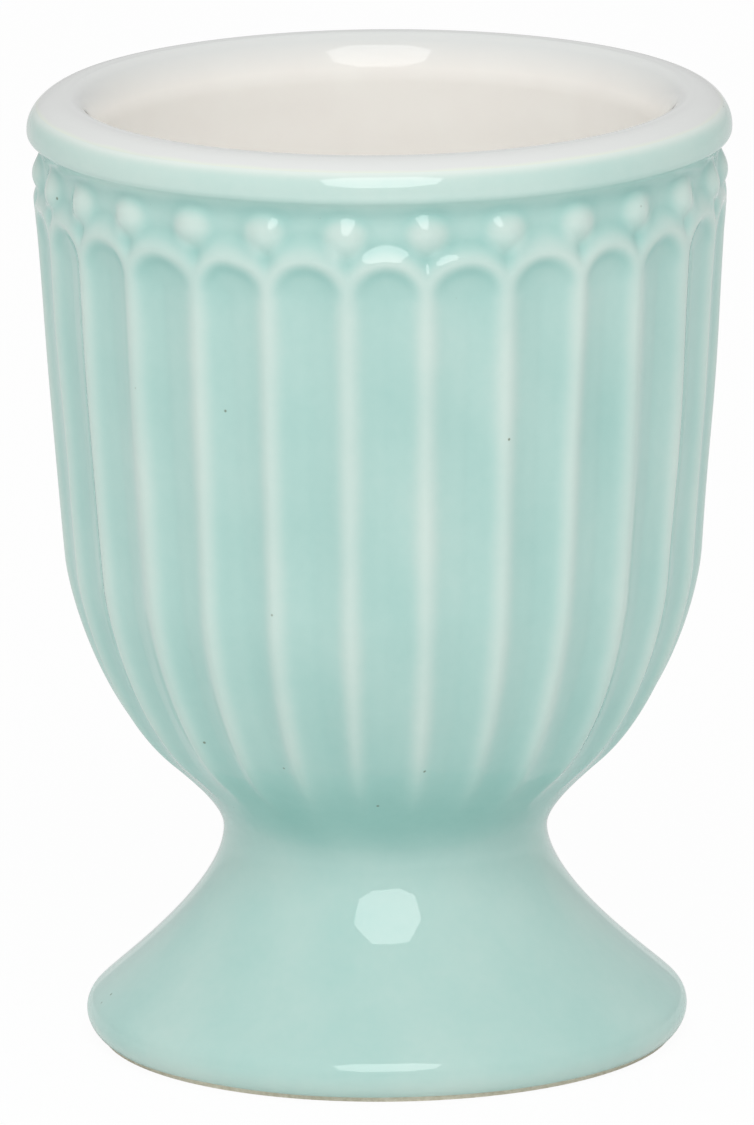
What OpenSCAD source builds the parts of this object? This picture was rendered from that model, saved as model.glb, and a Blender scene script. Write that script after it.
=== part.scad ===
// Egg cup of glazed stoneware. A fluted bowl with a rolled lip and a row of pearls is luted with
// slip to a flared, hollow foot. The outside and the hollow of the foot are glazed mint, the inside
// and the top of the lip white, and the ring that the cup stands on is left bare.
// Millimetres, +Z up, with the origin on the table in the middle of the foot.
// Outside sizes are those of the finished cup, measured over its glaze.

/* [Cup] */
// Height over all
cup_h = 65; // [60:0.5:72]
// Diameter of the mouth at its narrowest, which carries the egg
mouth_d = 39.2; // [38:0.1:40.4]
// Height of the waist, where the bowl is luted to the foot
waist_h = 14.4; // [13:0.2:16]
// Diameter of the waist
waist_d = 22; // [19:0.5:25]

/* [Lip] */
// Width of the lip, from the mouth to its widest line
lip_w = 4.1; // [3.8:0.05:4.6]
// Depth of the lip's widest line below the top
lip_crown = 2.2; // [1.8:0.05:2.6]
// Distance from that line down to the lip's lower edge
lip_drop = 0.75; // [0.65:0.05:1.2]
// Radius of the lip's face below its widest line
lip_face_r = 3.1; // [2:0.1:4]
// Radius of the mouth's rounded edge
mouth_edge_r = 0.9; // [0.4:0.1:1.5]
// Radius of the lip's lower edge
lip_edge_r = 0.5; // [0.3:0.05:0.55]
// Slope of the lip's face where the white glaze meets the mint, in degrees
glaze_line_slope = 43; // [20:1:60]

/* [Band of pearls] */
// How far the lip stands out over the plain band under it
lip_overhang = 0.9; // [0.8:0.05:1.3]
// Diameter of each pearl
pearl_d = 2.7; // [1.8:0.1:3]
// Height of a pearl's top above the band
pearl_proud = 0.85; // [0.5:0.05:1.2]
// Distance from the lip's lower edge down to the pearls' centres
pearl_drop = 1.75; // [1.5:0.05:2]

/* [Flutes] */
// Number of flutes, ribs and pearls round the bowl
flute_count = 27; // [18:1:32]
// Depth of the flutes below their ribs
flute_depth = 0.6; // [0.3:0.05:0.8]
// How a flute is scooped out: 2 is an even round, and more is flatter with steeper sides
scoop_power = 2.4; // [1.6:0.1:3.2]
// Width of the slope from the arches down to the band
arch_slope_w = 1.25; // [0.9:0.05:1.5]
// Distance from the pearls' centres down to the top of the arches
arch_drop = 1.95; // [1.8:0.05:2.6]
// Height above the waist at which the flutes start to fade into the bowl
flute_fade_low = 2.6; // [1:0.2:4]
// Height above the waist at which they have their full depth
flute_fade_high = 9; // [6:0.5:12]

/* [Bowl outline] */
// How far the wall over its ribs would stand out from the band, at the lip
wall_proud = 0.7; // [0.5:0.05:0.8]
// Slope of the wall there, in degrees
wall_top_slope = 87.4; // [85:0.2:90]
// Height above the waist at which the wall turns into the round bottom
belly_rise = 19; // [16:0.5:22]
// How far it has come in there from the lip's widest line
belly_inset = 2.15; // [1.7:0.05:3.2]
// Slope of the wall there, in degrees
belly_slope = 85; // [80:1:88]
// Height above the waist at which the round bottom turns into the hollow of the waist
turn_rise = 5.1; // [4:0.1:6]
// Diameter there
turn_d = 29.8; // [27:0.2:32]
// Slope of the outline there, in degrees
turn_slope = 41; // [35:1:50]

/* [Foot] */
// Largest diameter of the foot
foot_d = 40.8; // [36:0.2:46]
// Radius of the foot's rounded edge
foot_edge_r = 1.7; // [1.4:0.1:2.4]
// Angle round that edge at which the flare leaves it, in degrees
foot_edge_turn = 42; // [30:1:60]
// How far the bare ring that the cup stands on lies in from the foot's widest line
ring_inset = 1; // [0.8:0.1:1.6]
// Width of that ring
ring_w = 1.7; // [1.2:0.1:2.4]
// Thickness of the foot from the top of its hollow to the waist
foot_web = 4.4; // [3.4:0.2:8]
// Slope of the hollow's side at the ring, in degrees
hollow_slope = 50; // [40:1:60]

/* [Inside of the bowl] */
// Height of the inside's floor above the waist
floor_rise = 5.6; // [4.6:0.1:10]
// Height above the belly at which the inside's even taper ends and its round begins
seat_round_rise = 9.6; // [4:0.2:15]
// How far the inside has come in there from the mouth
seat_inset = 0.9; // [0.3:0.05:2]

/* [Clay and glaze] */
// Thickness of the fired glaze
glaze_t = 0.35; // [0.2:0.05:0.5]
// Thickness of the slip that joins the bowl to the foot
slip_t = 0.6; // [0.3:0.1:1]
// Height above the table at which the glaze on the foot stops
glaze_stop_h = 0.4; // [0.3:0.05:1]

/* [Hidden] */

clay_colour = "#d8cfb9";
slip_colour = "#c9bfa8";
mint_colour = "#b5d8d0";
deep_mint_colour = "#a6ccc5";
white_colour = "#eceae4";

// How far a cutting shape runs past what it cuts
overrun = 1;

// Curves are drawn through this many steps
curve_steps = 16;
$fn = 96;

// Facets of the round that trims the pearls, so fine that their caps keep their volume
trim_facets = 720;

// Width of the slope over the arches where two of them meet, beside its width at their tops
cusp_slope_share = 0.75;

// Handles of the curves, which set how full each is, as shares of the distance between its ends
hollow_shares = [0.156, 0.654];
round_shares = [0.409, 0.13];
wall_shares = [0.445, 0.287];
flare_shares = [0.116, 0.311];
underside_shares = [0.25, 0.35];
seat_shares = [0.57, 0.39];

// Where the lip's highest line lies between the mouth and the lip's widest line
lip_top_share = 0.415;

// Places of the grid's columns across one flute, from one rib to just short of the next
column_shares = [0, 0.13, 0.29, 0.5, 0.71, 0.87];

// Places of the rows below the flutes' arched tops, between the waist and the arches' springing
row_shares = [0, 0.05, 0.12, 0.2, 0.29, 0.4, 0.56];

// The rows that bend with the arches, as shares of an arch's rise from its springing:
// each is given at the rib and at the middle of the flute
arch_row_shares = [[-0.5, -0.5], [-0.12, 0.3], [0.1, 0.57], [0.3, 0.79], [0.5, 1], [0.72, 1.23], [1, 1.47]];

mouth_r = mouth_d / 2;
lip_r = mouth_r + lip_w;
lip_mid_h = cup_h - lip_crown;
lip_low_h = lip_mid_h - lip_drop;
lip_top_r = mouth_r + lip_w * lip_top_share;
band_r = lip_r - lip_overhang;
wall_top_r = band_r + wall_proud;
pearl_h = lip_low_h - pearl_drop;
arch_top_h = pearl_h - arch_drop;
flute_pitch = 360 / flute_count;

// Half the width of a flute and its ribs at the arches, which is also the arches' radius
arch_r = PI * wall_top_r / flute_count;
arch_low_h = arch_top_h - arch_r;

// Half-way between two values, or as far as the share says
function between(a, b, share) = a + (b - a) * share;

function direction(slope) = [cos(slope), sin(slope)];

function ease(x) = let(t = min(max(x, 0), 1)) t * t * (3 - 2 * t);

function reversed(path) = [for (i = [len(path) - 1:-1:0]) path[i]];

function from_second(path) = [for (i = [1:len(path) - 1]) path[i]];

// The point at t, from 0 to 1, on a cubic curve
function curve_point(c, t) =
    pow(1 - t, 3) * c[0] + 3 * pow(1 - t, 2) * t * c[1] + 3 * (1 - t) * t * t * c[2] + pow(t, 3) * c[3];

function curve_path(c) = [for (i = [0:curve_steps]) curve_point(c, i / curve_steps)];

// A curve that leaves one point at a slope and reaches another at a slope
function curve(start, start_slope, end, end_slope, shares) = let(span = norm(end - start)) [
    start,
    start + span * shares[0] * direction(start_slope),
    end - span * shares[1] * direction(end_slope),
    end
];

function oval_path(middle, half_w, half_h, start, end) = [
    for (i = [0:curve_steps])
        let(a = between(start, end, i / curve_steps)) middle + [half_w * cos(a), half_h * sin(a)]
];

// A path moved to its left by a distance, as the clay lies under the glaze.
// A point on the axis stays on it.
function moved(path, distance) = [
    for (i = [0:len(path) - 1])
        let(
            way = path[min(i + 1, len(path) - 1)] - path[max(i - 1, 0)],
            side = [-way.y, way.x] / norm(way)
        )
        [path[i].x == 0 ? 0 : path[i].x + distance * side.x, path[i].y + distance * side.y]
];

// The points of a path from one place in it to another
function part_of(path, first, last) = [for (i = [first:last]) path[i]];

// Outline of the bowl over its ribs, as three curves from the waist to the lip
waist_point = [waist_d / 2, waist_h];
turn_point = [turn_d / 2, waist_h + turn_rise];
belly_point = [lip_r - belly_inset, waist_h + belly_rise];
wall_top_point = [wall_top_r, lip_low_h];
bowl_curves = [
    curve(waist_point, 90, turn_point, turn_slope, hollow_shares),
    curve(turn_point, turn_slope, belly_point, belly_slope, round_shares),
    curve(belly_point, belly_slope, wall_top_point, wall_top_slope, wall_shares)
];

// Where a curve that only rises is at a height, found by halving
function curve_at(c, h, low = 0, high = 1, tries = 24) =
    let(t = (low + high) / 2, p = curve_point(c, t))
    tries == 0 ? t : p.y < h ? curve_at(c, h, t, high, tries - 1) : curve_at(c, h, low, t, tries - 1);

function bowl_curve_at(h) = h < turn_point.y ? bowl_curves[0] : h < belly_point.y ? bowl_curves[1] : bowl_curves[2];

function wall_r(h) = let(c = bowl_curve_at(h)) curve_point(c, curve_at(c, h)).x;

// Direction in which the wall faces at a height
function wall_facing(h) =
    let(
        step = (lip_low_h - waist_h) / 500,
        low = max(h - step, waist_h),
        high = min(h + step, lip_low_h),
        way = [wall_r(high) - wall_r(low), high - low]
    )
    [way.y, -way.x] / norm(way);

// How far a place is from the nearest rib or arch, minus on the flute's side.
// The place is given by its distance from the flute's middle and its height above the springing.
function from_crest(aside, above) = above < 0 ? abs(aside) - arch_r : norm([aside, above]) - arch_r;

// How deep in a flute a place is, from 0 on the rib to 1 in the middle
function scoop_share(crest) = 1 - pow(1 - min(-crest / arch_r, 1), scoop_power);

// How much of the arch's height a place beyond it has, from 1 on the arch to 0 on the band.
// The slope is narrower between two arches, where it has less room.
function slope_share(crest, aside) =
    max(1 - crest / (arch_slope_w * between(1, cusp_slope_share, pow(aside / arch_r, 2))), 0);

// A point of the bowl's face as [radius, height], at a share of the way across a flute
function face_point(h, across, depth) =
    let(
        aside = (across * 2 - 1) * arch_r,
        crest = from_crest(aside, h - arch_low_h),
        facing = wall_facing(h),
        fade = ease((h - waist_h - flute_fade_low) / (flute_fade_high - flute_fade_low)),
        on_face = crest < 0
            ? [wall_r(h), h] - facing * flute_depth * scoop_share(crest) * fade
            : [between(band_r, wall_r(h), slope_share(crest, aside)), h]
    )
    on_face - facing * depth;

function arched_row(shares, depth) = [
    for (across = column_shares)
        let(
            bend = sqrt(1 - pow(across * 2 - 1, 2)),
            h = arch_low_h + arch_r * between(shares[0], shares[1], bend)
        )
        face_point(h, across, depth)
];

function level_row(h, depth) = [for (across = column_shares) face_point(h, across, depth)];

// The rows of one flute's face from the waist to the lip, at a depth below the glaze's surface
function flute_rows(depth, low_h, high_h) = concat(
    [for (share = row_shares) level_row(max(between(waist_h, arch_low_h, share), low_h), depth)],
    [for (shares = arch_row_shares) arched_row(shares, depth)],
    [[for (across = column_shares) [band_r - depth, high_h]]]
);

// All points of a face that those rows make round the bowl
function bowl_points(rows) = [
    for (row = rows, i = [0:flute_count - 1], j = [0:len(row) - 1])
        let(a = (i + column_shares[j]) * flute_pitch + flute_pitch / 2)
        [row[j].x * sin(a), -row[j].x * cos(a), row[j].y]
];

// Two triangles for each square of a grid that closes on itself round the bowl
function grid_faces(row_count, columns, first, outward) = [
    for (i = [0:row_count - 2], j = [0:columns - 1], half = [0, 1])
        let(
            k = (j + 1) % columns,
            a = first + i * columns + j,
            b = first + i * columns + k,
            c = b + columns,
            d = a + columns,
            f = half == 0 ? [a, c, b] : [a, d, c]
        )
        outward ? f : reversed(f)
];

// The bowl's face filled in to a solid block
module fluted_block(depth, low_h, high_h) {
    rows = flute_rows(depth, low_h, high_h);
    columns = flute_count * len(column_shares);
    last = (len(rows) - 1) * columns;
    polyhedron(
        points = bowl_points(rows),
        faces = concat(
            grid_faces(len(rows), columns, 0, true),
            [[for (j = [0:columns - 1]) j]],
            [[for (j = [columns - 1:-1:0]) last + j]]
        )
    );
}

// A shell between the bowl's face and the same face further in
module fluted_shell(thickness) {
    outer = flute_rows(0, waist_h, lip_low_h);
    inner = flute_rows(thickness, waist_h, lip_low_h + thickness);
    columns = flute_count * len(column_shares);
    inside = len(outer) * columns;
    last = (len(outer) - 1) * columns;
    polyhedron(
        points = concat(bowl_points(outer), bowl_points(inner)),
        faces = concat(
            grid_faces(len(outer), columns, 0, true),
            grid_faces(len(inner), columns, inside, false),
            [
                for (j = [0:columns - 1], half = [0, 1])
                    let(k = (j + 1) % columns)
                    half == 0 ? [j, k, inside + k] : [j, inside + k, inside + j]
            ],
            [
                for (j = [0:columns - 1], half = [0, 1])
                    let(k = (j + 1) % columns)
                    half == 0
                        ? [last + j, inside + last + k, last + k]
                        : [last + j, inside + last + j, inside + last + k]
            ]
        )
    );
}

// The lip's finished outline, from the band round to its highest line and on to the mouth
lip_half_w = lip_r - lip_top_r;
lip_face_turn = asin((lip_drop - lip_edge_r) / (lip_face_r - lip_edge_r));
glaze_line_turn = atan(tan(glaze_line_slope) * lip_crown / lip_half_w);
lip_middle = [lip_top_r, lip_mid_h];
mouth_edge_middle = [mouth_r + mouth_edge_r, cup_h - mouth_edge_r];
lip_face_middle = [lip_r - lip_face_r, lip_mid_h];
lip_edge_middle = lip_face_middle + (lip_face_r - lip_edge_r) * direction(-lip_face_turn);
lip_face = concat(
    oval_path(lip_edge_middle, lip_edge_r, lip_edge_r, -90, -lip_face_turn),
    from_second(oval_path(lip_face_middle, lip_face_r, lip_face_r, -lip_face_turn, 0)),
    from_second(oval_path(lip_middle, lip_half_w, lip_crown, 0, glaze_line_turn))
);
lip_top = concat(
    oval_path(lip_middle, lip_half_w, lip_crown, glaze_line_turn, 90),
    oval_path(mouth_edge_middle, mouth_edge_r, mouth_edge_r, 90, 180)
);

// The inside from the mouth to the middle of the floor
seat_round_point = [mouth_r - seat_inset, belly_point.y + seat_round_rise];
floor_point = [0, waist_h + floor_rise];
taper_slope = atan2(seat_round_point.y - mouth_edge_middle.y, seat_round_point.x - mouth_r);
seat_face = concat(
    [seat_round_point],
    from_second(curve_path(curve(seat_round_point, taper_slope, floor_point, 180, seat_shares)))
);

mint_lip_path = concat([[band_r, lip_low_h]], lip_face);
white_path = concat(lip_top, seat_face);

// The clay under both glazes is one path, which is parted under the line between them
line_place = len(lip_face) - 1;
clay_path = moved(concat(lip_face, from_second(white_path)), glaze_t);
white_clay_path = part_of(clay_path, line_place, len(clay_path) - 1);
mint_clay_path = concat(
    [[band_r - glaze_t, lip_low_h + glaze_t]],
    [for (p = part_of(clay_path, 0, line_place)) [p.x, max(p.y, lip_low_h + glaze_t)]]
);

// Shell of glaze between a finished path and the clay's path under it, turned round the axis
module glaze_coat(finished, clay) {
    rotate_extrude() polygon(concat(finished, reversed(clay)));
}

// Stoneware bowl under its glaze
module bowl() {
    clay_low_h = waist_h + slip_t / 2;
    clay_lip_h = lip_low_h + glaze_t;
    color(clay_colour)
        difference() {
            union() {
                fluted_block(glaze_t, clay_low_h, clay_lip_h + glaze_t);
                rotate_extrude()
                    polygon(concat(
                        [[0, clay_lip_h]],
                        from_second(mint_clay_path),
                        [for (p = white_clay_path) if (p.x > lip_top_r) p],
                        [[lip_top_r, cup_h - glaze_t], [0, cup_h - glaze_t]]
                    ));
            }
            rotate_extrude()
                polygon(concat(
                    [[0, cup_h + overrun], [lip_top_r, cup_h + overrun], [lip_top_r, cup_h - glaze_t]],
                    [for (p = white_clay_path) if (p.x < lip_top_r) p]
                ));
        }
}

// Clay pearls set on the band, one over each rib
module pearls() {
    pearl_r = pearl_d / 2;
    color(mint_colour)
        difference() {
            for (i = [0:flute_count - 1])
                rotate(i * flute_pitch + flute_pitch / 2)
                    translate([0, pearl_r - pearl_proud - band_r, pearl_h])
                        sphere(pearl_r);
            translate([0, 0, pearl_h - pearl_d])
                cylinder(r = band_r, h = 2 * pearl_d, $fn = trim_facets);
        }
}

// Disc of slip between the scored faces of bowl and foot
module joining_slip() {
    color(slip_colour)
        translate([0, 0, waist_h - slip_t / 2])
            cylinder(r = waist_d / 2 - glaze_t, h = slip_t);
}

// The foot's finished outline, from where its glaze stops up to the waist
edge_middle = [foot_d / 2 - foot_edge_r, foot_edge_r];
edge_stop_turn = -asin((foot_edge_r - glaze_stop_h) / foot_edge_r);
flare_start = edge_middle + foot_edge_r * direction(foot_edge_turn);
foot_path = concat(
    oval_path(edge_middle, foot_edge_r, foot_edge_r, edge_stop_turn, foot_edge_turn),
    from_second(curve_path(curve(flare_start, foot_edge_turn + 90, waist_point, 90, flare_shares)))
);
foot_clay_path = moved(foot_path, glaze_t);

// The hollow under the foot, from the ring to its middle
ring_r = foot_d / 2 - ring_inset;
hollow_start = [ring_r - ring_w, glaze_stop_h];
hollow_path = curve_path(
    curve(hollow_start, 180 - hollow_slope, [0, waist_h - foot_web], 180, underside_shares)
);
hollow_clay_path = moved(hollow_path, -glaze_t);

// Stoneware foot under its glaze, bare on the ring that it stands on
module foot() {
    clay_top_h = waist_h - slip_t / 2;
    color(clay_colour)
        rotate_extrude()
            polygon(concat(
                reversed(hollow_clay_path),
                [[ring_r - ring_w, 0], [ring_r, 0]],
                [for (p = foot_clay_path) if (p.y < clay_top_h) p],
                [[waist_d / 2 - glaze_t, clay_top_h], [0, clay_top_h]]
            ));
}

// Mint glaze over the flutes and the band, up to the lip's lower edge
module bowl_glaze() {
    color(mint_colour) fluted_shell(glaze_t);
}

// Mint glaze on the lip's face, up to the white glaze
module lip_glaze() {
    color(mint_colour) glaze_coat(mint_lip_path, mint_clay_path);
}

// Mint glaze on the foot, down to the bare ring
module foot_glaze() {
    color(deep_mint_colour) glaze_coat(foot_path, foot_clay_path);
}

// White glaze over the top of the lip and the whole inside
module lining_glaze() {
    color(white_colour) glaze_coat(white_path, white_clay_path);
}

// Mint glaze in the hollow under the foot
module underside_glaze() {
    color(deep_mint_colour) glaze_coat(hollow_path, hollow_clay_path);
}

bowl();
pearls();
joining_slip();
foot();
bowl_glaze();
lip_glaze();
foot_glaze();
lining_glaze();
underside_glaze();
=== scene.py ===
import math

import bpy
import numpy as np
from mathutils import Matrix, Vector


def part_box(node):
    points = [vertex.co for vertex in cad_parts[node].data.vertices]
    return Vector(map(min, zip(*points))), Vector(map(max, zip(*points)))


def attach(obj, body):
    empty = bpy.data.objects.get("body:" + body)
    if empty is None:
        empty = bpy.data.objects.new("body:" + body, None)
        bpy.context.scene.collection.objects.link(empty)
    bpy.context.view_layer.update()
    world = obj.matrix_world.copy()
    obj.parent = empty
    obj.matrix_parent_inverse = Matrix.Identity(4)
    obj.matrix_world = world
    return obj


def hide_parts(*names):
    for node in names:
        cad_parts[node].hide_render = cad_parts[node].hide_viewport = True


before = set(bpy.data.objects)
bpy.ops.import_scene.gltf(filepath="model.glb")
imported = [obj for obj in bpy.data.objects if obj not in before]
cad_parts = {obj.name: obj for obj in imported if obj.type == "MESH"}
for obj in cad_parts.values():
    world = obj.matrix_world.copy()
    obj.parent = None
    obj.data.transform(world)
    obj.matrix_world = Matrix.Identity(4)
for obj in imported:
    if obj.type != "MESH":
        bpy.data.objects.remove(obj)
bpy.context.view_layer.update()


# The cup stands on a white table and is photographed from a little above its rim. The camera has
# a long lens, stands about a metre away, and is tilted sideways by half a degree.

photo_h = 1125
camera_distance = 1.1
camera_pitch = math.radians(13.2)
camera_roll = math.radians(-0.49)
pixels_per_metre = 14780
aim = Vector((-0.00045, 0, 0.03254))

forward = Vector((0, math.cos(camera_pitch), -math.sin(camera_pitch)))
level_right = Vector((1, 0, 0))
level_up = level_right.cross(forward)
right = level_right * math.cos(camera_roll) + level_up * math.sin(camera_roll)
up = level_up * math.cos(camera_roll) - level_right * math.sin(camera_roll)

lens = bpy.data.cameras.new("camera")
lens.sensor_fit = "VERTICAL"
lens.sensor_height = 36
lens.lens = pixels_per_metre * camera_distance / photo_h * lens.sensor_height
lens.clip_start = 0.01
camera = bpy.data.objects.new("camera", lens)
camera.matrix_world = Matrix.Translation(aim - forward * camera_distance) @ Matrix((
    (right.x, up.x, -forward.x, 0),
    (right.y, up.y, -forward.y, 0),
    (right.z, up.z, -forward.z, 0),
    (0, 0, 0, 1),
))
bpy.context.scene.collection.objects.link(camera)
bpy.context.scene.camera = camera
bpy.context.scene.view_settings.view_transform = "Standard"


# One softbox with eight sides hangs in front of the cup and above it, in a white room that is
# a little brighter above than below, and on the left than on the right. The softbox makes every
# sharp highlight on the glaze.

softbox_height = math.radians(42)
softbox_distance = 0.62
softbox_w = 0.38
softbox_h = 0.42
softbox_watts = 1.7
softbox_corner = 0.25
lit_point = Vector((0, 0, 0.04))

softbox_light = bpy.data.lights.new("softbox", "AREA")
softbox_light.shape = "RECTANGLE"
softbox_light.size = softbox_w
softbox_light.size_y = softbox_h
softbox_light.energy = softbox_watts
softbox_light.use_nodes = True
nodes = softbox_light.node_tree.nodes
links = softbox_light.node_tree.links
nodes.clear()
cloth_place = nodes.new("ShaderNodeNewGeometry")
cloth_middle = nodes.new("ShaderNodeVectorMath")
cloth_middle.operation = "SUBTRACT"
cloth_middle.inputs[1].default_value = (0.5, 0.5, 0)
cloth_fold = nodes.new("ShaderNodeVectorMath")
cloth_fold.operation = "ABSOLUTE"
cloth_sides = nodes.new("ShaderNodeSeparateXYZ")
cloth_sum = nodes.new("ShaderNodeMath")
cloth_sum.operation = "ADD"
cloth_kept = nodes.new("ShaderNodeMath")
cloth_kept.operation = "LESS_THAN"
cloth_kept.inputs[1].default_value = 1 - softbox_corner
cloth_glow = nodes.new("ShaderNodeEmission")
cloth_out = nodes.new("ShaderNodeOutputLight")
links.new(cloth_place.outputs["Parametric"], cloth_middle.inputs[0])
links.new(cloth_middle.outputs["Vector"], cloth_fold.inputs[0])
links.new(cloth_fold.outputs["Vector"], cloth_sides.inputs["Vector"])
links.new(cloth_sides.outputs["X"], cloth_sum.inputs[0])
links.new(cloth_sides.outputs["Y"], cloth_sum.inputs[1])
links.new(cloth_sum.outputs["Value"], cloth_kept.inputs[0])
links.new(cloth_kept.outputs["Value"], cloth_glow.inputs["Strength"])
links.new(cloth_glow.outputs["Emission"], cloth_out.inputs["Surface"])
softbox = bpy.data.objects.new("softbox", softbox_light)
towards_light = Vector((0, -math.cos(softbox_height), math.sin(softbox_height)))
softbox.location = lit_point + towards_light * softbox_distance
softbox.rotation_euler = towards_light.to_track_quat("Z", "Y").to_euler()
bpy.context.scene.collection.objects.link(softbox)

room_low = 0.59
room_high = 0.76
room_side = 0.05
room = bpy.data.worlds.new("white room")
bpy.context.scene.world = room
room.use_nodes = True
nodes = room.node_tree.nodes
links = room.node_tree.links
nodes.clear()
seen = nodes.new("ShaderNodeLightPath")
way = nodes.new("ShaderNodeTexCoord")
way_up = nodes.new("ShaderNodeSeparateXYZ")
room_rise = nodes.new("ShaderNodeMapRange")
room_rise.inputs["From Min"].default_value = 0
room_rise.inputs["From Max"].default_value = 1
room_rise.inputs["To Min"].default_value = room_low
room_rise.inputs["To Max"].default_value = room_high
room_lean = nodes.new("ShaderNodeMath")
room_lean.operation = "MULTIPLY_ADD"
room_lean.inputs[1].default_value = -room_side
room_light = nodes.new("ShaderNodeBackground")
room_light.inputs["Color"].default_value = (1, 1, 1, 1)
room_wall = nodes.new("ShaderNodeBackground")
room_wall.inputs["Color"].default_value = (1, 1, 1, 1)
room_wall.inputs["Strength"].default_value = 1
room_mix = nodes.new("ShaderNodeMixShader")
room_out = nodes.new("ShaderNodeOutputWorld")
links.new(way.outputs["Generated"], way_up.inputs["Vector"])
links.new(way_up.outputs["Z"], room_rise.inputs["Value"])
links.new(way_up.outputs["X"], room_lean.inputs[0])
links.new(room_rise.outputs["Result"], room_lean.inputs[2])
links.new(room_lean.outputs["Value"], room_light.inputs["Strength"])
links.new(seen.outputs["Is Camera Ray"], room_mix.inputs["Fac"])
links.new(room_light.outputs["Background"], room_mix.inputs[1])
links.new(room_wall.outputs["Background"], room_mix.inputs[2])
links.new(room_mix.outputs["Shader"], room_out.inputs["Surface"])


# The table is a sheet of white paper. It looks plain white in the picture, keeps a faint shadow
# of the cup, and lights the underside of the bowl. It lies a hair below the ring that the cup
# stands on, so that the two faces don't share a plane.

table_size = 4
table_gap = 0.00002
table_white = (0.94, 0.94, 0.935, 1)
table_shadow_share = 0.05

bpy.ops.mesh.primitive_plane_add(size=table_size, location=(0, 0, -table_gap))
table = bpy.context.object
table.name = "table"
paper = bpy.data.materials.new("white paper")
paper.use_nodes = True
nodes = paper.node_tree.nodes
links = paper.node_tree.links
nodes.clear()
seen = nodes.new("ShaderNodeLightPath")
paper_lit = nodes.new("ShaderNodeBsdfDiffuse")
paper_lit.inputs["Color"].default_value = table_white
paper_plain = nodes.new("ShaderNodeEmission")
paper_plain.inputs["Color"].default_value = (1, 1, 1, 1)
paper_plain.inputs["Strength"].default_value = 1
plain_share = nodes.new("ShaderNodeMath")
plain_share.operation = "MULTIPLY"
plain_share.inputs[1].default_value = 1 - table_shadow_share
paper_mix = nodes.new("ShaderNodeMixShader")
paper_out = nodes.new("ShaderNodeOutputMaterial")
links.new(seen.outputs["Is Camera Ray"], plain_share.inputs[0])
links.new(plain_share.outputs["Value"], paper_mix.inputs["Fac"])
links.new(paper_lit.outputs["BSDF"], paper_mix.inputs[1])
links.new(paper_plain.outputs["Emission"], paper_mix.inputs[2])
links.new(paper_mix.outputs["Shader"], paper_out.inputs["Surface"])
table.data.materials.append(paper)


# Bowl and foot are buff stoneware, fired hard and joined with slip of the same clay. Only the
# ring under the foot is bare, where the glaze was wiped off so that the cup wouldn't stick to
# the kiln shelf.

clay_grain_scale = 2600
clay_grain_strength = 0.35
clay_grain_height = 0.00004
clay_roughness = 0.78


def plain_colour(red, green, blue):
    """A colour as seen on a screen, from 0 to 255, in the linear light that shaders use."""
    linear = []
    for level in (red, green, blue):
        share = level / 255
        if share <= 0.04045:
            linear.append(share / 12.92)
        else:
            linear.append(((share + 0.055) / 1.055) ** 2.4)
    return (*linear, 1)


def new_finish(name):
    """A new material, with its nodes, its links and its shader."""
    finish = bpy.data.materials.new(name)
    finish.use_nodes = True
    tree = finish.node_tree
    return finish, tree.nodes, tree.links, tree.nodes["Principled BSDF"]


def colour_steps(nodes, steps):
    """A ramp through the given (place, colour) steps."""
    ramp = nodes.new("ShaderNodeValToRGB")
    ramp.color_ramp.elements[0].position = steps[0][0]
    ramp.color_ramp.elements[0].color = steps[0][1]
    ramp.color_ramp.elements[1].position = steps[-1][0]
    ramp.color_ramp.elements[1].color = steps[-1][1]
    for place, colour in steps[1:-1]:
        step = ramp.color_ramp.elements.new(place)
        step.color = colour
    return ramp


def solid_noise(nodes, links, scale, detail, offset=0):
    """Noise through the clay or the glaze itself, in metres of the cup."""
    place = nodes.new("ShaderNodeTexCoord")
    shift = nodes.new("ShaderNodeVectorMath")
    shift.operation = "ADD"
    shift.inputs[1].default_value = (offset, offset, offset)
    noise = nodes.new("ShaderNodeTexNoise")
    noise.inputs["Scale"].default_value = scale
    noise.inputs["Detail"].default_value = detail
    links.new(place.outputs["Object"], shift.inputs[0])
    links.new(shift.outputs["Vector"], noise.inputs["Vector"])
    return noise


clay, nodes, links, shader = new_finish("bare stoneware")
clay_grain = solid_noise(nodes, links, clay_grain_scale, 3)
clay_colours = colour_steps(nodes, [
    (0.3, plain_colour(218, 212, 190)),
    (0.55, plain_colour(232, 227, 207)),
    (0.75, plain_colour(240, 236, 220)),
])
clay_bump = nodes.new("ShaderNodeBump")
clay_bump.inputs["Strength"].default_value = clay_grain_strength
clay_bump.inputs["Distance"].default_value = clay_grain_height
shader.inputs["Roughness"].default_value = clay_roughness
links.new(clay_grain.outputs["Fac"], clay_colours.inputs["Fac"])
links.new(clay_colours.outputs["Color"], shader.inputs["Base Color"])
links.new(clay_grain.outputs["Fac"], clay_bump.inputs["Height"])
links.new(clay_bump.outputs["Normal"], shader.inputs["Normal"])

for name in ("bowl", "foot", "joining_slip"):
    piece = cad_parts[name]
    piece.data.materials.clear()
    piece.data.materials.append(clay)


# The outside is dipped in mint glaze: lip, pearls, bowl and foot in one coat, which runs thin
# over ribs, pearls and edges and gathers in the flutes, under the arches and at the waist. Under
# the arch crests the colour also holds painted shade.
# Outlines are in millimetres here and in the next section, and finishes are in metres.

MM = 0.001
cup_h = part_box("lining_glaze")[1].z / MM
lip_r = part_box("lip_glaze")[1].x / MM
foot_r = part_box("foot_glaze")[1].x / MM
glaze_stop_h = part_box("foot_glaze")[0].z / MM
lip_low_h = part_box("lip_glaze")[0].z / MM
waist_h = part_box("foot_glaze")[1].z / MM

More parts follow.
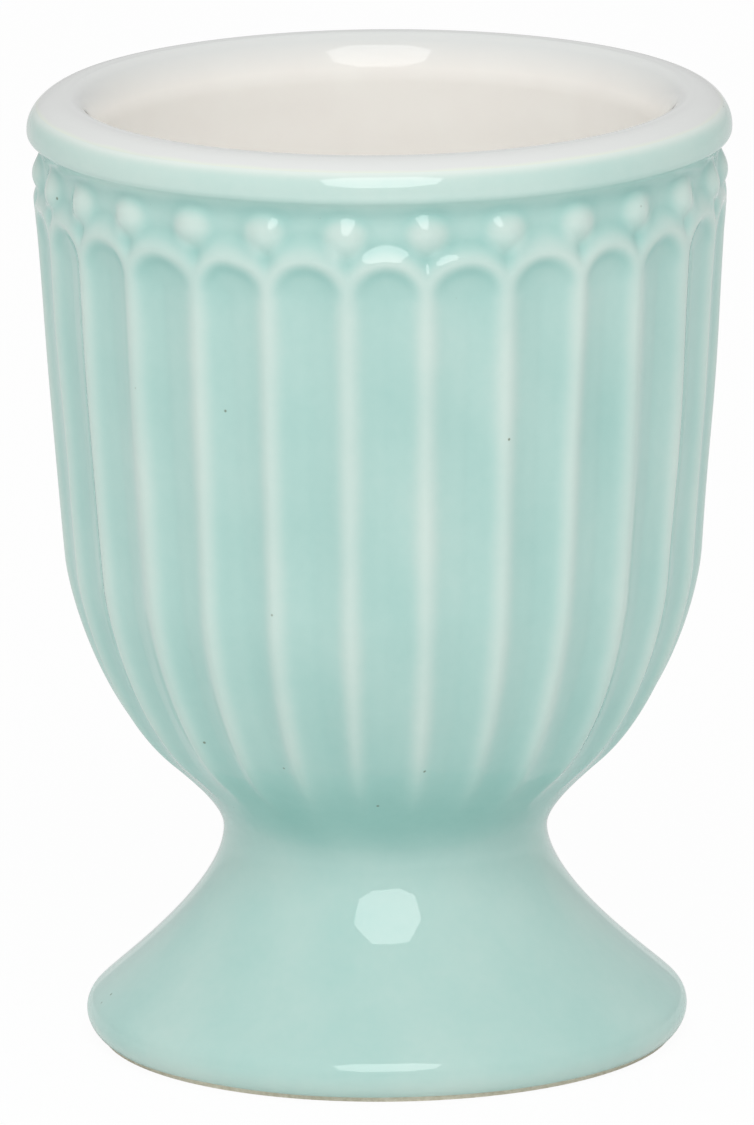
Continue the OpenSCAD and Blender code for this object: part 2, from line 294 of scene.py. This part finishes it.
# The outline, which follows that of the solids to about 0.15 mm. Slopes and turns are in degrees,
# and the shares set how full each curve is.
mouth_r = 19.6
lip_crown = 2.2
lip_face_r = 3.1
lip_edge_r = 0.6
lip_edge_turn = 54
glaze_line_turn = 42.5
lip_top_share = 0.415
band_r = 22.66
waist_r = 11.0
turn_point = np.array([14.9, waist_h + 5.1])
belly_point = np.array([21.55, waist_h + 19])
wall_top_point = np.array([23.5, lip_low_h])
turn_slope = 41
belly_slope = 85
wall_top_slope = 87.4
waist_shares = (0.156, 0.654)
round_shares = (0.409, 0.13)
wall_shares = (0.445, 0.287)
foot_edge_r = 1.7
foot_edge_turn = 42
flare_shares = (0.116, 0.311)

# How many points each part of the outline is drawn with, and then how far apart the surface's
# rings lie. They are closest on the lip and, down to fine_rings_h below it, on the band.
edge_points = 60
lip_face_points = 12
lip_corner_points = 24
curve_points = 200
wall_points = 400
lip_spacing = 0.11
band_spacing = 0.15
wall_spacing = 0.5
round_spacing = 0.34
foot_spacing = 0.22
fine_rings_h = 8.6

flute_count = 27
columns_per_flute = 36
columns = flute_count * columns_per_flute
turns = np.arange(columns) * 2 * math.pi / columns
out_way = np.stack([np.sin(turns), -np.cos(turns), 0 * turns], -1)[None]


def direction(slope):
    """The way that a slope in degrees points, outwards and upwards."""
    return np.array([math.cos(math.radians(slope)), math.sin(math.radians(slope))])


def curve(start, start_slope, end, end_slope, shares, steps):
    """Points along a cubic curve whose handles are shares of the distance between its ends."""
    span = np.linalg.norm(end - start)
    handle_a = start + span * shares[0] * direction(start_slope)
    handle_b = end - span * shares[1] * direction(end_slope)
    t = np.linspace(0, 1, steps)[:, None]
    near_start = (1 - t) ** 3 * start + 3 * (1 - t) ** 2 * t * handle_a
    near_end = 3 * (1 - t) * t * t * handle_b + t ** 3 * end
    return near_start + near_end


def oval(middle, half_w, half_h, start, end, steps):
    """Points along a part of an oval, from one angle to another in degrees."""
    t = np.linspace(math.radians(start), math.radians(end), steps)
    return np.stack([middle[0] + half_w * np.cos(t), middle[1] + half_h * np.sin(t)], -1)


def distances(path):
    """How far along a path each of its points lies."""
    steps = np.linalg.norm(np.diff(path, axis=0), axis=1)
    return np.concatenate([[0], np.cumsum(steps)])


def evenly(path, spacing):
    """The path again, with points about this far apart."""
    along = distances(path)
    places = np.linspace(0, along[-1], max(int(round(along[-1] / spacing)), 2) + 1)
    return np.stack([np.interp(places, along, path[:, k]) for k in (0, 1)], -1)


def turned(path):
    """Rings of points from an outline turned about the cup's axis."""
    ring_r = path[:, 0][:, None]
    ring_h = np.repeat(path[:, 1][:, None], columns, axis=1)
    return np.stack([ring_r * np.sin(turns), -ring_r * np.cos(turns), ring_h], -1)


def wander(heights, seed, height_wave, across_waves, strength):
    """A slow, seeded unevenness over the cup, as of work done by hand. It closes round the cup."""
    wave_count = 14
    draw = np.random.RandomState(seed)
    field = np.zeros((len(heights), columns))
    for _ in range(wave_count):
        waves = draw.randint(1, across_waves + 1)
        rise = draw.uniform(-1, 1) * 2 * math.pi / height_wave
        start = draw.uniform(0, 2 * math.pi)
        field += np.cos(waves * turns[None, :] + rise * heights[:, None] + start)
    return field * strength / math.sqrt(wave_count / 2)


def out_of_round(heights):
    """How far the turned cup stands out of a true circle."""
    return wander(heights, seed=8, height_wave=14, across_waves=9, strength=0.035)


# Outline of the lip's face, from the white glaze down to the corner under the lip.
lip_mid_h = cup_h - lip_crown
lip_top_r = mouth_r + (lip_r - mouth_r) * lip_top_share
lip_face_middle = np.array([lip_r - lip_face_r, lip_mid_h])
lip_face_drop = lip_mid_h - lip_low_h - lip_edge_r
lip_face_turn = math.degrees(math.asin(lip_face_drop / (lip_face_r - lip_edge_r)))
lip_edge_middle = lip_face_middle + (lip_face_r - lip_edge_r) * direction(-lip_face_turn)
lip_outline = np.concatenate([
    oval((lip_top_r, lip_mid_h), lip_r - lip_top_r, lip_crown, glaze_line_turn, 0, edge_points),
    oval(lip_face_middle, lip_face_r, lip_face_r, 0, -lip_face_turn, lip_face_points)[1:],
    oval(lip_edge_middle, lip_edge_r, lip_edge_r, -lip_face_turn, -lip_edge_turn, lip_corner_points)[1:],
])
lip_path = evenly(lip_outline, lip_spacing)

# Outline of the bowl over its ribs, from the lip down to the waist.
waist_point = np.array([waist_r, waist_h])
bowl_outline = np.concatenate([
    curve(waist_point, 90, turn_point, turn_slope, waist_shares, curve_points),
    curve(turn_point, turn_slope, belly_point, belly_slope, round_shares, curve_points)[1:],
    curve(belly_point, belly_slope, wall_top_point, wall_top_slope, wall_shares, wall_points)[1:],
])[::-1]
in_band = bowl_outline[:, 1] >= lip_low_h - fine_rings_h
in_round = bowl_outline[:, 1] <= belly_point[1]
bowl_path = np.concatenate([
    evenly(bowl_outline[in_band], band_spacing),
    evenly(bowl_outline[~in_band & ~in_round], wall_spacing),
    evenly(bowl_outline[in_round], round_spacing),
])
bowl_h = bowl_path[:, 1]
bowl_way = np.gradient(bowl_path, axis=0)
bowl_facing = np.stack([-bowl_way[:, 1], bowl_way[:, 0]], -1)
bowl_facing /= np.linalg.norm(bowl_facing, axis=1)[:, None]

# Outline of the foot, from the waist down to where the glaze stops.
edge_middle = np.array([foot_r - foot_edge_r, foot_edge_r])
edge_stop_turn = -math.degrees(math.asin((foot_edge_r - glaze_stop_h) / foot_edge_r))
flare_start = edge_middle + foot_edge_r * direction(foot_edge_turn)
foot_outline = np.concatenate([
    oval(edge_middle, foot_edge_r, foot_edge_r, edge_stop_turn, foot_edge_turn, edge_points),
    curve(flare_start, foot_edge_turn + 90, waist_point, 90, flare_shares, curve_points)[1:],
])[::-1]
foot_path = evenly(foot_outline, foot_spacing)[1:]

# Ribs, flutes and arches. A place is given by how far it lies beside the nearest flute's middle,
# and how far above the height from which the arches spring. The ribs stand a little wider apart
# at the front than at the back, which fits the photograph. arch_seed was chosen from 8000 seeds so
# that the arches at the front end as softly or as sharply as the photograph's.
ornament_turn = 0.0132
flute_depth = 0.66
floor_share = 0.45
fade_start = 2.2
fade_span = 8.5
rib_spread = 0.4
ridge_w = 0.68
ridge_w_at_arch = 0.46
arch_drop = 3.85
arch_slope_w = 1.2
arch_softest = 1.45
arch_sharpest = 0.85
arch_seed = 5798
cusp_slope_share = 0.7
cusp_fill = 0.4

pitch = 2 * math.pi / flute_count
arch_r = math.pi * wall_top_point[0] / flute_count
spring_h = lip_low_h - arch_drop - arch_r
spread_turns = turns - rib_spread / wall_top_point[0] * np.sin(turns)
rib_sway = wander(bowl_h, seed=3, height_wave=60, across_waves=40, strength=0.1)
arch_sway = wander(bowl_h, seed=4, height_wave=200, across_waves=30, strength=0.07)
flute_place = (spread_turns[None, :] + rib_sway / wall_top_point[0] - ornament_turn) / pitch + 0.5
flute_aside = (flute_place % 1 - 0.5) * 2 * arch_r
above_spring = bowl_h[:, None] + arch_sway - spring_h
from_crest = np.hypot(flute_aside, np.maximum(above_spring, 0)) - arch_r
into_flute = np.maximum(-from_crest, 0)
under_arch = np.clip(above_spring / arch_r, 0, 1)
flank_w = ridge_w + (ridge_w_at_arch - ridge_w) * under_arch
flank = 1 - np.exp(-0.5 * (into_flute / flank_w) ** 2)
scoop = (1 - floor_share) * flank + floor_share * into_flute / arch_r
fade = np.clip((bowl_h - waist_h - fade_start) / fade_span, 0, 1)
fade = (fade * fade * (3 - 2 * fade))[:, None]
arch_number = np.floor(flute_place).astype(int) % flute_count
arch_draw = np.random.RandomState(arch_seed)
arch_softness = arch_draw.uniform(arch_sharpest, arch_softest, flute_count)[arch_number]
towards_cusp = (flute_aside / arch_r) ** 2
slope_w = arch_slope_w * (arch_softness + (cusp_slope_share - arch_softness) * towards_cusp)
down_slope = np.clip((from_crest - cusp_fill * towards_cusp) / slope_w, 0, 1)
sunk = np.where(
    from_crest > 0,
    down_slope * (bowl_path[:, 0] - band_r)[:, None],
    flute_depth * scoop * fade,
)


def softened(field, path, reach):
    """A field over an outline's rings, with each value spread this far round the cup and up it."""
    round_waves = np.fft.rfftfreq(columns, 1 / columns)[None, :] / path[:, 0][:, None]
    kept = np.exp(-0.5 * (round_waves * reach) ** 2)
    spread = np.fft.irfft(np.fft.rfft(field, axis=1) * kept, columns, axis=1)
    along = distances(path)
    apart = along[:, None] - along[None, :]
    near = np.exp(-0.5 * (apart / reach) ** 2) * np.gradient(along)[None, :]
    return (near / near.sum(axis=1)[:, None]) @ spread


# The glaze rounds every ridge and corner of the clay.
glaze_round = 0.16
sunk = softened(sunk, bowl_path, glaze_round)
bowl_r = bowl_path[:, 0][:, None] - sunk * bowl_facing[:, 0][:, None]
bowl_rise = bowl_path[:, 1][:, None] - sunk * bowl_facing[:, 1][:, None]

# Pearls, pressed on by hand over each rib, each leaning a little its own way. The glaze runs off
# them, leaves no corner at their edges and gathers in a ring round each. pearl_seed was chosen from
# 8000 seeds so that the pearls at the front lean as their highlights in the photograph show.
pearl_size_r = 1.37
pearl_proud = 0.72
pearl_round = 2.25
pearl_drop = 2.22
pearl_seed = 5695
pearl_stray = 0.1
pearl_smallest = 0.96
pearl_largest = 1.04
pearl_lean_down = 0.1
pearl_lean_up = 0.16
pearl_lean_aside = 0.3
bald_share = 0.95
bald_edge = 5
ring_share = 0.72
ring_edge = 4

pearl_h = lip_low_h - pearl_drop
pearl_draw = np.random.RandomState(pearl_seed)
pearl_shifts = pearl_draw.uniform(-pearl_stray, pearl_stray, (flute_count, 2))
pearl_sizes = pearl_draw.uniform(pearl_smallest, pearl_largest, flute_count)
pearl_leans = pearl_draw.uniform(-pearl_lean_up, pearl_lean_down, (flute_count, 2))
pearl_turns = (np.arange(flute_count) + 0.5) * pitch + ornament_turn
pearl_turns = pearl_turns + rib_spread / wall_top_point[0] * np.sin(pearl_turns)
pearl_rise = np.zeros((len(bowl_h), columns))
pearl_bald = np.zeros((len(bowl_h), columns))
pearl_ring = np.zeros((len(bowl_h), columns))
for turn, shift, size, lean in zip(pearl_turns, pearl_shifts, pearl_sizes, pearl_leans):
    aside = (((turns - turn + math.pi) % (2 * math.pi) - math.pi) * band_r - shift[0])[None, :]
    above = bowl_h[:, None] - pearl_h - shift[1]
    away = np.hypot(aside, above) / (pearl_size_r * size)
    slant = pearl_lean_aside * lean[0] * aside + lean[1] * above
    pearl_rise += (pearl_proud + slant) * np.exp(-away ** pearl_round)
    pearl_bald += np.exp(-(bald_share * away) ** bald_edge)
    pearl_ring += np.exp(-(ring_share * away) ** ring_edge)
bowl_r = bowl_r + pearl_rise


def soft_max(one, other, width):
    """The larger of two lengths, with a hollow of this width where they cross."""
    blend = np.clip(0.5 + (one - other) / (2 * width), 0, 1)
    return one * blend + other * (1 - blend) + width * blend * (1 - blend)


# The glaze fills the corner between band and lip with a hollow round.
corner_blend = 0.08
lip_end_r, lip_end_h = lip_outline[-1]
corner_bend = math.radians(lip_edge_turn)
corner_r = (lip_end_r - band_r) / (1 - math.cos(corner_bend))
corner_low_h = lip_end_h - corner_r * math.sin(corner_bend)
up_corner = np.clip((bowl_h - corner_low_h) / corner_r, 0, math.sin(corner_bend))[:, None]
corner = corner_r * (1 - np.sqrt(1 - up_corner ** 2))
bowl_r = np.where(up_corner > 0, soft_max(bowl_r, band_r + corner, corner_blend), bowl_r)
bowl_rings = np.stack([bowl_r * np.sin(turns), -bowl_r * np.cos(turns), bowl_rise], -1)

# The whole outside as rings of points, from the lip down.
mint_rings = np.concatenate([turned(lip_path)[:-1], bowl_rings, turned(foot_path)])
lip_end = len(lip_path) - 1
bowl_end = lip_end + len(bowl_path)
mint_rings = mint_rings + out_way * out_of_round(mint_rings[:, 0, 2])[:, :, None]


def ring_normals(rings):
    """The way that each point of a surface faces, from the rings and columns beside it."""
    shortest = 1e-12
    down = np.gradient(rings, axis=0)
    across = (np.roll(rings, -1, axis=1) - np.roll(rings, 1, axis=1)) / 2
    normals = np.cross(down, across)
    return normals / np.maximum(np.linalg.norm(normals, axis=-1), shortest)[..., None]


mint_normals = ring_normals(mint_rings)

# Where the glaze gathers and runs thin on the bowl: its surface is set against itself made
# smooth. What stands out thins by more than the hollows fill.
gather_reach = 0.75
gather_limit = 0.22
gather_blur = 0.2
thin_gain = 1.4
mean_path = np.concatenate([lip_path[:-1], bowl_path, foot_path])
stands_out = np.hypot(mint_rings[..., 0], mint_rings[..., 1]) - mean_path[:, 0][:, None]
stands_out[lip_end:bowl_end] -= pearl_rise
stands_out[:lip_end] = 0
stands_out[bowl_end:] = 0
gathered = softened(stands_out, mean_path, gather_reach) - stands_out
gathered[:lip_end] = 0
gathered[bowl_end:] = 0
gathered = np.where(gathered < 0, thin_gain * gathered, gathered)
gathered = softened(gather_limit * np.tanh(gathered / gather_limit), mean_path, gather_blur)


def around(height, centre, reach):
    """A share that is 1 at one height and dies away above and below it."""
    return np.exp(-0.5 * ((height - centre) / reach) ** 2)


# Where it is thicker or thinner by height: it pools above the waist and is thin on the lip, on
# the foot's edge and just under the lip.
pool_gain = 0.2
pool_h = waist_h + 3.2
pool_reach_up = 2.3
pool_reach_down = 1.7
low_bowl_gain = 0.05
low_bowl_h = waist_h + 8.5
low_bowl_reach = 4.0
flare_thin = 0.02
flare_h = waist_h - 5
flare_reach = 4
band_thin = 0.05
band_thin_h = lip_low_h - 1.7
band_thin_reach = 0.5
foot_edge_thin = 0.1
foot_edge_h = 0.9
foot_edge_reach = 0.5
lip_thin = 0.12
lip_gain = 0.1
lip_gain_h = lip_mid_h - 0.2
mint_h = mean_path[:, 1]
on_lip = np.arange(len(mint_h)) < lip_end
on_foot = np.arange(len(mint_h)) >= bowl_end
pool_reach = np.where(mint_h > pool_h, pool_reach_up, pool_reach_down)
by_height = pool_gain * around(mint_h, pool_h, pool_reach)
by_height += low_bowl_gain * around(mint_h, low_bowl_h, low_bowl_reach)
by_height -= flare_thin * around(mint_h, flare_h, flare_reach)
by_height -= band_thin * around(mint_h, band_thin_h, band_thin_reach)
by_height = np.where(on_lip, lip_gain * np.clip(lip_gain_h - mint_h, 0, 1) - lip_thin, by_height)
by_height -= np.where(on_foot, foot_edge_thin * around(mint_h, foot_edge_h, foot_edge_reach), 0)

# The coat's thickness, from 0 where it is thinnest to 1 where it is thickest. Under the arch
# crests it also carries painted shade, which the colour shows as thicker glaze.
even_coat = 0.53
uneven_gain = 1.15
line_thin = 0.4
line_reach = 0.4
lip_end_gain = 0.08
lip_end_reach = 0.35
arch_shade_gain = 0.27
arch_shade_in = 0.75
arch_shade_reach = 0.45
ring_gain = 0.1
bald_thin = 0.34
glaze = even_coat + uneven_gain * (gathered + by_height[:, None])
glaze += wander(mint_h, seed=21, height_wave=9, across_waves=14, strength=0.02)
along_lip = distances(lip_path)[:-1]
to_lip_end = along_lip[-1] - along_lip
glaze[:lip_end] -= (line_thin * np.exp(-(along_lip / line_reach) ** 2))[:, None]
glaze[:lip_end] += (lip_end_gain * np.exp(-(to_lip_end / lip_end_reach) ** 2))[:, None]
# Under each arch crest, where the flute's top faces down: partly glaze gathered there, partly painted
# shade.
arch_shade = under_arch * np.exp(-((into_flute - arch_shade_in) / arch_shade_reach) ** 2)
glaze[lip_end:bowl_end] += arch_shade_gain * arch_shade
glaze[lip_end:bowl_end] += ring_gain * pearl_ring - bald_thin * pearl_bald
glaze = np.clip(glaze, 0, 1)


def shell(name, outer, outer_normals, inner, values, finish):
    """A closed piece between fine outer rings and coarser inner rings, with its glaze values."""
    count = outer.shape[1]
    rings = np.concatenate([outer, inner[::-1]])
    normals = np.concatenate([outer_normals, -ring_normals(inner)[::-1]])
    here = np.arange(len(rings))[:, None] * count + np.arange(count)[None, :]
    below = np.roll(here, -1, axis=0)
    beside_below = np.roll(below, -1, axis=1)
    beside_here = np.roll(here, -1, axis=1)
    faces = np.stack([here, below, beside_below, beside_here], -1).reshape(-1, 4)
    mesh = bpy.data.meshes.new(name)
    mesh.vertices.add(len(rings) * count)
    mesh.vertices.foreach_set("co", (rings.reshape(-1, 3) * MM).astype(np.float32).ravel())
    mesh.loops.add(faces.size)
    mesh.loops.foreach_set("vertex_index", faces.ravel().astype(np.int32))
    mesh.polygons.add(len(faces))
    mesh.polygons.foreach_set("loop_start", np.arange(0, faces.size, 4, dtype=np.int32))
    mesh.polygons.foreach_set("use_smooth", np.ones(len(faces), bool))
    mesh.update(calc_edges=True)
    for key, field in values.items():
        filled = np.concatenate([field, np.full((len(inner), count), float(np.mean(field)))])
        attribute = mesh.attributes.new(key, "FLOAT", "POINT")
        attribute.data.foreach_set("value", filled.astype(np.float32).ravel())
    mesh.normals_split_custom_set_from_vertices(normals.reshape(-1, 3))
    mesh.materials.append(finish)
    piece = bpy.data.objects.new(name, mesh)
    bpy.context.scene.collection.objects.link(piece)
    return piece


def under(rings, normals, depth, every):
    """Every so many plain rings under a surface, this deep below its lowest places."""
    keep = sorted(set(list(range(0, len(rings), every)) + [len(rings) - 1]))
    kept_rings = rings[keep]
    kept_normals = normals[keep]
    ring_r = np.hypot(kept_rings[..., 0], kept_rings[..., 1])
    ring_h = kept_rings[..., 2].mean(axis=1)
    outward = kept_normals[..., 0] * np.sin(turns) - kept_normals[..., 1] * np.cos(turns)
    out_share = outward.mean(axis=1)
    up_share = kept_normals[..., 2].mean(axis=1)
    size = np.hypot(out_share, up_share)
    out_share = out_share / size
    up_share = up_share / size
    mean_r = ring_r.mean(axis=1)
    lowest = ((ring_r - mean_r[:, None]) * out_share[:, None]).min(axis=1) - depth
    return turned(np.stack([mean_r + out_share * lowest, ring_h + up_share * lowest], -1))


# The colour follows the coat's thickness, painted shade under the arch crests included, a little
# clouded.
cloud_scale = 340
cloud_gain = 0.1
fine_cloud_scale = 1500
fine_cloud_gain = 0.05
mint, nodes, links, shader = new_finish("mint glaze")
thickness = nodes.new("ShaderNodeAttribute")
thickness.attribute_name = "glaze"
cloud = solid_noise(nodes, links, cloud_scale, 3)
fine_cloud = solid_noise(nodes, links, fine_cloud_scale, 2, 0.3)
cloud_lift = nodes.new("ShaderNodeMath")
cloud_lift.operation = "MULTIPLY_ADD"
cloud_lift.inputs[1].default_value = cloud_gain
cloud_lift.inputs[2].default_value = -cloud_gain / 2
cloud_add = nodes.new("ShaderNodeMath")
cloud_add.operation = "ADD"
fine_lift = nodes.new("ShaderNodeMath")
fine_lift.operation = "MULTIPLY_ADD"
fine_lift.inputs[1].default_value = fine_cloud_gain
fine_lift.inputs[2].default_value = -fine_cloud_gain / 2
fine_add = nodes.new("ShaderNodeMath")
fine_add.operation = "ADD"
mint_colours = colour_steps(nodes, [
    (0.0, plain_colour(222, 232, 226)),
    (0.3, plain_colour(202, 222, 215)),
    (0.55, plain_colour(177, 212, 205)),
    (0.72, plain_colour(160, 203, 196)),
    (1.0, plain_colour(132, 186, 178)),
])
links.new(cloud.outputs["Fac"], cloud_lift.inputs[0])
links.new(thickness.outputs["Fac"], cloud_add.inputs[0])
links.new(cloud_lift.outputs["Value"], cloud_add.inputs[1])
links.new(fine_cloud.outputs["Fac"], fine_lift.inputs[0])
links.new(cloud_add.outputs["Value"], fine_add.inputs[0])
links.new(fine_lift.outputs["Value"], fine_add.inputs[1])
links.new(fine_add.outputs["Value"], mint_colours.inputs["Fac"])

# Iron specks burnt out of the clay, about one to every two square centimetres, none over 0.3 mm
# across.
speck_scale = 330
speck_dark_to = 0.022
speck_ends_at = 0.045
speck_strength = 0.75
speck_kept_above = 0.55
place = nodes.new("ShaderNodeTexCoord")
specks = nodes.new("ShaderNodeTexVoronoi")
specks.inputs["Scale"].default_value = speck_scale
speck_edge = nodes.new("ShaderNodeMapRange")
speck_edge.inputs["From Min"].default_value = speck_dark_to
speck_edge.inputs["From Max"].default_value = speck_ends_at
speck_edge.inputs["To Min"].default_value = speck_strength
speck_edge.inputs["To Max"].default_value = 0.0
speck_few = nodes.new("ShaderNodeSeparateColor")
speck_kept = nodes.new("ShaderNodeMath")
speck_kept.operation = "GREATER_THAN"
speck_kept.inputs[1].default_value = speck_kept_above
speck_share = nodes.new("ShaderNodeMath")
speck_share.operation = "MULTIPLY"
speckled = nodes.new("ShaderNodeMix")
speckled.data_type = "RGBA"
speckled.inputs["B"].default_value = plain_colour(104, 112, 88)
links.new(place.outputs["Object"], specks.inputs["Vector"])
links.new(specks.outputs["Distance"], speck_edge.inputs["Value"])
links.new(specks.outputs["Color"], speck_few.inputs["Color"])
links.new(speck_few.outputs["Red"], speck_kept.inputs[0])
links.new(speck_edge.outputs["Result"], speck_share.inputs[0])
links.new(speck_kept.outputs["Value"], speck_share.inputs[1])
links.new(speck_share.outputs["Value"], speckled.inputs["Factor"])
links.new(mint_colours.outputs["Color"], speckled.inputs["A"])
links.new(speckled.outputs["Result"], shader.inputs["Base Color"])

# The fired surface is smooth as glass, with only a faint ripple.
glaze_roughness = 0.015
mint_ior = 1.51
ripple_scale = 500
ripple_strength = 0.06
ripple_height = 0.00006
shader.inputs["Roughness"].default_value = glaze_roughness
shader.inputs["IOR"].default_value = mint_ior
mint_ripple = solid_noise(nodes, links, ripple_scale, 2, 0.7)
mint_bump = nodes.new("ShaderNodeBump")
mint_bump.inputs["Strength"].default_value = ripple_strength
mint_bump.inputs["Distance"].default_value = ripple_height
links.new(mint_ripple.outputs["Fac"], mint_bump.inputs["Height"])
links.new(mint_bump.outputs["Normal"], shader.inputs["Normal"])

coat_depth = 0.3
mint_rings_per_inner = 6
for name, first, last, nodes_kept in (
    ("lip_glaze_coat", 0, lip_end, ("lip_glaze",)),
    ("bowl_glaze_coat", lip_end, bowl_end - 1, ("bowl_glaze", "pearls")),
    ("foot_glaze_coat", bowl_end - 1, len(mint_rings) - 1, ("foot_glaze",)),
):
    outer = mint_rings[first:last + 1]
    outer_normals = mint_normals[first:last + 1]
    inner = under(outer, outer_normals, coat_depth, mint_rings_per_inner)
    piece = shell(name, outer, outer_normals, inner, {"glaze": glaze[first:last + 1]}, mint)
    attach(piece, "root")
    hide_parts(*nodes_kept)


# The inside and the top of the lip have a white glaze, poured in and swilled round before the
# outside was dipped. It ends on the lip in a line, with a thin pale edge where it meets the mint.

mouth_edge_w = 1.85
mouth_edge_h = 3.2
mouth_edge_shares = (0.25, 0.35)
mouth_wall_inset = 0.6
mouth_wall_r = mouth_r - mouth_wall_inset
seat_depth = 45
seat_round = np.array([18.7, cup_h - 22])
seat_shares = (0.57, 0.39)
floor_hole_r = 0.02
white_lip_spacing = 0.07
seat_spacing = 0.5

mouth_crest = np.array([mouth_wall_r + mouth_edge_w, cup_h])
mouth_edge = np.array([mouth_wall_r, cup_h - mouth_edge_h])
seat_bottom = np.array([floor_hole_r, cup_h - seat_depth])
taper = seat_round - mouth_edge
taper_slope = math.degrees(math.atan2(taper[1], taper[0]))
white_lip = np.concatenate([
    oval((lip_top_r, lip_mid_h), lip_r - lip_top_r, lip_crown, glaze_line_turn, 90, edge_points),
    curve(mouth_crest, 180, mouth_edge, taper_slope, mouth_edge_shares, edge_points),
])
white_seat = np.concatenate([
    [mouth_edge, seat_round],
    curve(seat_round, taper_slope, seat_bottom, 180, seat_shares, curve_points)[1:],
])
white_path = np.concatenate([
    evenly(white_lip, white_lip_spacing),
    evenly(white_seat, seat_spacing)[1:],
])[::-1]
white_h = white_path[:, 1]

# Faint throwing rings inside, which fade out at the mouth and in the middle of the floor. Near
# the mint glaze the white follows the lip out of round.
throwing_fade_h = 3
throwing_fade_r = 6
throwing = wander(white_h, seed=31, height_wave=4, across_waves=2, strength=0.02)
throwing = throwing + wander(white_h, seed=32, height_wave=9, across_waves=6, strength=0.03)
below_mouth = np.clip((mouth_edge[1] - white_h) / throwing_fade_h, 0, 1)
from_middle = np.clip(white_path[:, 0] / throwing_fade_r, 0, 1)
to_lip = np.clip((white_path[:, 0] - lip_top_r) / (lip_r - lip_top_r), 0, 1)
white_out = throwing * (below_mouth * from_middle)[:, None]
white_out = white_out + out_of_round(white_h) * to_lip[:, None]
white_rings = turned(white_path) + out_way * white_out[:, :, None]
white_normals = ring_normals(white_rings)

# How far each place is from the line where white meets mint, and how deep inside the mouth it is,
# from 0 at the rim to 1. The depth sets painted light: the white is painted cooler and greyer on
# the rim and warmer and brighter inside, for the light on them, not for the glaze.
inside_start = 0.4
inside_span = 1.8
along_white = distances(white_path)
from_line = (along_white[-1] - along_white)[:, None]
from_line = from_line + wander(white_h, seed=41, height_wave=60, across_waves=30, strength=0.05)
inside = np.clip((cup_h - inside_start - white_h) / inside_span, 0, 1)
inside = np.where(white_path[:, 0] < lip_top_r, inside, 0)
inside = np.repeat(inside[:, None], columns, axis=1)

line_from = 0.02
line_to = 0.3
white_cloud_scale = 260
white_ior = 1.42
white, nodes, links, shader = new_finish("white glaze")
line = nodes.new("ShaderNodeAttribute")
line.attribute_name = "from_line"
line_edge = nodes.new("ShaderNodeMapRange")
line_edge.inputs["From Min"].default_value = line_from
line_edge.inputs["From Max"].default_value = line_to
white_cloud = solid_noise(nodes, links, white_cloud_scale, 3)
white_colours = colour_steps(nodes, [
    (0.3, plain_colour(248, 245, 240)),
    (0.7, plain_colour(250, 248, 243)),
])
# Painted light: the rim's cool grey and the inside's warm, brighter white are one glaze in different
# light.
depth = nodes.new("ShaderNodeAttribute")
depth.attribute_name = "inside"
rim_inside_light_mix = nodes.new("ShaderNodeMix")
rim_inside_light_mix.data_type = "RGBA"
rim_inside_light_mix.inputs["A"].default_value = plain_colour(223, 225, 223)
white_mix = nodes.new("ShaderNodeMix")
white_mix.data_type = "RGBA"
white_mix.inputs["A"].default_value = plain_colour(224, 231, 220)
links.new(line.outputs["Fac"], line_edge.inputs["Value"])
links.new(line_edge.outputs["Result"], white_mix.inputs["Factor"])
links.new(white_cloud.outputs["Fac"], white_colours.inputs["Fac"])
links.new(depth.outputs["Fac"], rim_inside_light_mix.inputs["Factor"])
links.new(white_colours.outputs["Color"], rim_inside_light_mix.inputs["B"])
links.new(rim_inside_light_mix.outputs["Result"], white_mix.inputs["B"])
links.new(white_mix.outputs["Result"], shader.inputs["Base Color"])
shader.inputs["Roughness"].default_value = glaze_roughness
shader.inputs["IOR"].default_value = white_ior

white_rings_per_inner = 5
inner = under(white_rings, white_normals, coat_depth, white_rings_per_inner)
white_values = {"from_line": from_line, "inside": inside}
lining = shell("lining_glaze_coat", white_rings, white_normals, inner, white_values, white)
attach(lining, "root")
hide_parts("lining_glaze")


# The hollow under the foot is glazed mint too, in one even coat that was swilled round and
# poured out, up to the bare ring.

underside_thickness = 0.6
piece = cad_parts["underside_glaze"]
piece.data.materials.clear()
piece.data.materials.append(mint)
under_values = piece.data.attributes.new("glaze", "FLOAT", "POINT")
even_values = np.full(len(piece.data.vertices), underside_thickness, np.float32)
under_values.data.foreach_set("value", even_values)
